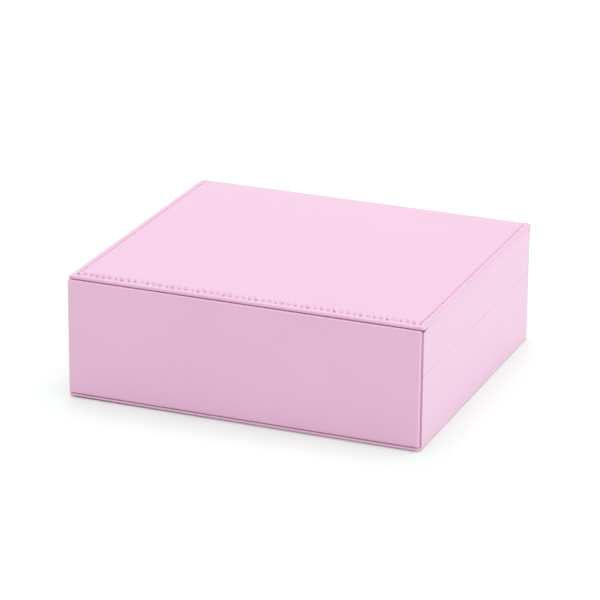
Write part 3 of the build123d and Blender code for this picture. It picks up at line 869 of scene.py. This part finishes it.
# ======================================================================================
# Linings, mirror and tray
# ======================================================================================
def liner(name, body, rect, wall_end, floor_z, wall, floor, material, nodes,
          rim=0.5, cove=0.6, radius=0.3):
    """An open box of fabric-covered board, from floor_z to wall_end, with a rounded rim and soft corners."""
    out = 1 if wall_end > floor_z else -1
    rim, chamfer = min(rim, wall / 2 - 0.01), 0.25
    quarter = np.linspace(0, math.pi / 2, 4)
    outer = [(chamfer, floor_z), (0.0, floor_z + out * chamfer), (0.0, wall_end - out * rim)]
    top = [(rim - rim * math.cos(a), wall_end - out * (rim - rim * math.sin(a))) for a in quarter]
    top += [(wall - rim + rim * math.sin(a), wall_end - out * (rim - rim * math.cos(a))) for a in quarter]
    base = floor_z + out * floor
    bottom = [(wall + cove - cove * math.cos(a), base + out * (cove - cove * math.sin(a))) for a in quarter]
    middle = [(wall + inset, base) for inset in (4.0, 10.0, 20.0, 35.0, 55.0, 80.0)]
    loops = stacked(rect, outer + top + bottom + middle, radius, (100, 88, 5))
    verts, faces = loft(loops, cap=(True, True))
    obj = make(name, verts, faces, material, body)
    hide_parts(*nodes)
    return obj


def wrapped_board(name, node, body):
    """A divider board wrapped in suede: rounded top edge, tight lower edges."""
    lo, hi = box_mm(node)
    along_x = hi[0] - lo[0] > hi[1] - lo[1]
    across = (lo[1], hi[1]) if along_x else (lo[0], hi[0])
    ends = (lo[0], hi[0]) if along_x else (lo[1], hi[1])
    top = (across[1] - across[0]) / 2 - 0.05
    section = rounded_section(across[0], across[1], lo[2], hi[2], (0.2, 0.2, top, top))
    steps = np.linspace(ends[0] + 0.02, ends[1] - 0.02, max(int((ends[1] - ends[0]) / 3), 8))
    place = (lambda p, s: (s, p[0], p[1])) if along_x else (lambda p, s: (p[0], s, p[1]))
    verts, faces = swept_section(section, steps, place)
    obj = make(name, verts, faces, suede, body)
    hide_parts(node)
    return obj


def mirror_frame():
    """Padded leather frame that holds the mirror against the lid's ceiling."""
    lo, hi = box_mm("mirror_frame")
    glass_lo = box_mm("mirror_glass")[0]
    lip = 2.0
    rect = (lo[0], hi[0], lo[1], hi[1])
    opening = glass_lo[0] + lip - lo[0]
    crown = [(opening * t, lo[2] + 1.15 * (2 * t - 1) ** 4 + 0.02) for t in np.linspace(0.0, 1.0, 15)]
    profile = [(0.0, hi[2]), (0.0, lo[2] + 1.6)] + crown + [(opening, glass_lo[2] - 0.02),
               (opening - lip + 0.1, glass_lo[2] - 0.02), (opening - lip + 0.1, hi[2])]
    verts, faces = loft(stacked(rect, profile, 4.0, (90, 80, 7)), wrap_profile=True)
    obj = make("mirror_frame_padded", verts, faces, leather_fine, "lid")
    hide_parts("mirror_frame")
    return obj


def mirror_glass():
    """The mirror with a ground bevel round its edge."""
    lo, hi = box_mm("mirror_glass")
    rect = (lo[0], hi[0], lo[1], hi[1])
    bevel = 10.0
    profile = [(0.15, hi[2] - 0.03), (0.0, hi[2] - 0.15), (0.0, lo[2] + 0.75), (0.1, lo[2] + 0.65),
               (bevel, lo[2] + 0.03), (bevel + 0.1, lo[2] + 0.03)]
    verts, faces = loft(stacked(rect, profile, 1.0, (8, 8, 5)), cap=(True, True))
    obj = make("mirror_plate", verts, faces, silvering, "lid", smooth=False)
    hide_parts("mirror_glass")
    return obj


def ring_roll(index):
    """A suede roll over foam: full along its length, drawn in at the ends."""
    node = f"ring_roll_{index}"
    lo, hi = box_mm(node)
    width, height = hi[1] - lo[1], hi[2] - lo[2]
    middle = (lo[1] + hi[1]) / 2
    xs = lo[0] + (hi[0] - lo[0]) * (0.5 - 0.5 * np.cos(np.linspace(0, math.pi, 44)))
    loops = []
    for x in xs:
        end = min(x - lo[0], hi[0] - x)
        pull = 1 - 0.26 * math.exp(-((end / 2.2) ** 1.4))
        loop = []
        for angle in np.linspace(0, math.tau, 48, endpoint=False):
            c, s = math.cos(angle), math.sin(angle)
            power = 0.62 if s > 0 else 0.35
            y = abs(c) ** power * math.copysign(1, c) * width / 2 * 0.995
            z = abs(s) ** (0.8 if s > 0 else 0.4) * math.copysign(1, s) * height / 2
            gather = 0.12 * math.exp(-end / 5) * math.sin(angle * 11 + index)
            swell = 0.16 * noise.noise(Vector((x / 17, angle, index)))
            scale = pull * (1 + (gather + swell) / width)
            loop.append((x, middle + y * min(scale, 1.0), lo[2] + height / 2 * pull + z * min(scale, 1.0)))
        loops.append(np.array(loop))
    verts, faces = loft(loops, cap=(True, True))
    obj = make(f"ring_roll_pad_{index}", verts, faces, roll_suede, "tray")
    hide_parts(node)
    return obj


def pull_tab(name, side):
    """A folded leather loop on the tray's side wall, standing up to be pinched."""
    lo, hi = box_mm("tray_pull_tabs")
    thickness, ply, clearance = 1.0, 0.42, 0.03
    low, top = lo[2], hi[2]
    outer = hi[0] - clearance
    inner = outer - thickness
    centre = (outer + inner) / 2
    bend = thickness / 2
    section = np.vstack([
        line((outer, low), (outer, top - bend), 10),
        arc((centre, top - bend), bend, 0, 180, 9),
        line((inner, top - bend), (inner, low), 10),
        [(inner, low), (inner + ply, low)],
        line((inner + ply, low + 0.5), (inner + ply, top - bend), 10),
        arc((centre, top - bend), bend - ply, 180, 0, 5),
        line((outer - ply, top - bend - 0.2), (outer - ply, low), 10),
        [(outer - ply, low)],
    ])
    ys = np.linspace(lo[1], hi[1], 18)
    verts, faces = swept_section(section, ys, lambda p, y: (side * p[0], y, p[1]))
    return make(name, verts, faces, leather_fine, "tray")


base_lining_lo, base_lining_hi = box_mm("base_lining")
lid_lining_lo, lid_lining_hi = box_mm("lid_lining")
LINING_CARD = 0.98
inner_rect = (base_lining_lo[0], base_lining_hi[0], base_lining_lo[1], base_lining_hi[1])
liner("base_suede_lining", "base", inner_rect, base_lining_hi[2], base_lining_lo[2] + 0.01,
      LINING_CARD, LINING_CARD, suede, ["base_lining"])
liner("lid_suede_lining", "lid", inner_rect, lid_lining_lo[2], lid_lining_hi[2] - 0.01,
      LINING_CARD, LINING_CARD, suede, ["lid_lining"])
tray_lo, tray_hi = box_mm("tray_floor")
wall_lo, wall_hi = box_mm("tray_left_wall")
tray_nodes = ["tray_floor"] + [f"tray_{side}_wall" for side in ("left", "right", "front", "back")]
tray_rect = (tray_lo[0], tray_hi[0], tray_lo[1], tray_hi[1])
liner("tray_suede_shell", "tray", tray_rect, wall_hi[2], tray_lo[2] + 0.01,
      wall_hi[0] - wall_lo[0], tray_hi[2] - tray_lo[2], suede, tray_nodes,
      rim=1.15, cove=0.5, radius=1.2)
for divider in ("long", "short", "front_cross", "back_cross", "front_half", "middle_half"):
    wrapped_board(f"tray_{divider}_partition", f"tray_{divider}_divider", "tray")
wrapped_board("base_long_partition", "base_long_divider", "base")
wrapped_board("base_cross_partition", "base_cross_divider", "base")
wrapped_board("tray_ledge_suede_left", "tray_ledge_left", "base")
wrapped_board("tray_ledge_suede_right", "tray_ledge_right", "base")
mirror_frame()
mirror_glass()
for roll_index in range(1, 6):
    ring_roll(roll_index)
tabs = [pull_tab("tray_tab_right", 1), pull_tab("tray_tab_left", -1)]
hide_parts("tray_pull_tabs")


# ======================================================================================
# Floor, light and camera
# ======================================================================================
# Strength of the sky, power in watts of the three lamps, and the floor's own glow.
SKY = 0.702
LAMP = 23.6
SIDE = 10.0
BACK = 6.0
FLOOR_GLOW = 0.08
FLOOR_NEAR = ((0.895, 0.985, 0.93, 1), (0.905, 0.99, 0.94, 1))
FLOOR_FAR = (0.955, 0.965, 0.96, 1)


def studio():
    """A white floor and soft light from overhead, the right, the rear and all round.

    The floor is faintly green round the case, so that light thrown back by pink leather looks neutral on it.
    """
    scene = bpy.context.scene
    scene.view_settings.view_transform = "Standard"
    world = bpy.data.worlds.new("studio_world")
    scene.world = world
    world.use_nodes = True
    background = world.node_tree.nodes["Background"]
    background.inputs["Color"].default_value = (1.0, 1.0, 1.0, 1.0)
    background.inputs["Strength"].default_value = SKY

    size = 8.0
    mesh = bpy.data.meshes.new("floor")
    corners = [(-size, -size, 0), (size, -size, 0), (size, size, 0), (-size, size, 0)]
    mesh.from_pydata(corners, [], [(0, 1, 2, 3)])
    floor = bpy.data.objects.new("floor", mesh)
    bpy.context.scene.collection.objects.link(floor)
    recipe = Recipe("floor_white", 0.9, Specular_IOR_Level=0.05)
    shade = recipe.noise(3, 2, 0.5)
    near = recipe.ramp(shade, [(0.3, FLOOR_NEAR[0]), (0.7, FLOOR_NEAR[1])])
    distance = recipe.node("ShaderNodeVectorMath", operation="LENGTH")
    recipe.link(recipe.place, distance.inputs[0])
    away = recipe.span(distance.outputs["Value"], 0.45, 1.6, 0.0, 1.0)
    white = recipe.mix(away, near, FLOOR_FAR)
    recipe.shader.inputs["Emission Color"].default_value = (1.0, 1.0, 1.0, 1.0)
    recipe.shader.inputs["Emission Strength"].default_value = FLOOR_GLOW
    mesh.materials.append(recipe.finish(white))

    def area(name, place, target, width, power):
        light = bpy.data.lights.new(name, "AREA")
        light.shape = "DISK"
        light.size = width
        light.energy = power
        lamp = bpy.data.objects.new(name, light)
        lamp.location = place
        lamp.rotation_mode = "QUATERNION"
        lamp.rotation_quaternion = (Vector(target) - Vector(place)).to_track_quat("-Z", "Y")
        bpy.context.scene.collection.objects.link(lamp)

    area("overhead", (-0.1, 0.3, 2.6), (0, 0, 0.04), 2.2, LAMP)
    area("right_panel", (2.4, 0.0, 0.75), (0, 0, 0.04), 1.3, SIDE)
    area("rear_panel", (-1.03, 2.6, 1.05), (0, 0, 0.08), 2.0, BACK)


def camera():
    """The viewing angle of a product shot: long lens, 20 degrees down, 22 degrees to the right."""
    azimuth, elevation, roll = (math.radians(v) for v in (21.60, 20.34, 0.51))
    target = Vector((-0.0029, 0.0, 0.0463))
    distance, focal = 2.130, 194.8
    back = Vector((math.sin(azimuth) * math.cos(elevation), -math.cos(azimuth) * math.cos(elevation),
                   math.sin(elevation)))
    data = bpy.data.cameras.new("camera")
    data.lens = focal
    data.sensor_width = 36.0
    data.clip_start, data.clip_end = 0.05, 50.0
    cam = bpy.data.objects.new("camera", data)
    cam.location = target + back * distance
    turn = (-back).to_track_quat("-Z", "Y")
    cam.rotation_mode = "QUATERNION"
    cam.rotation_quaternion = turn @ Quaternion((0, 0, 1), roll)
    bpy.context.scene.collection.objects.link(cam)
    bpy.context.scene.camera = cam


studio()
camera()
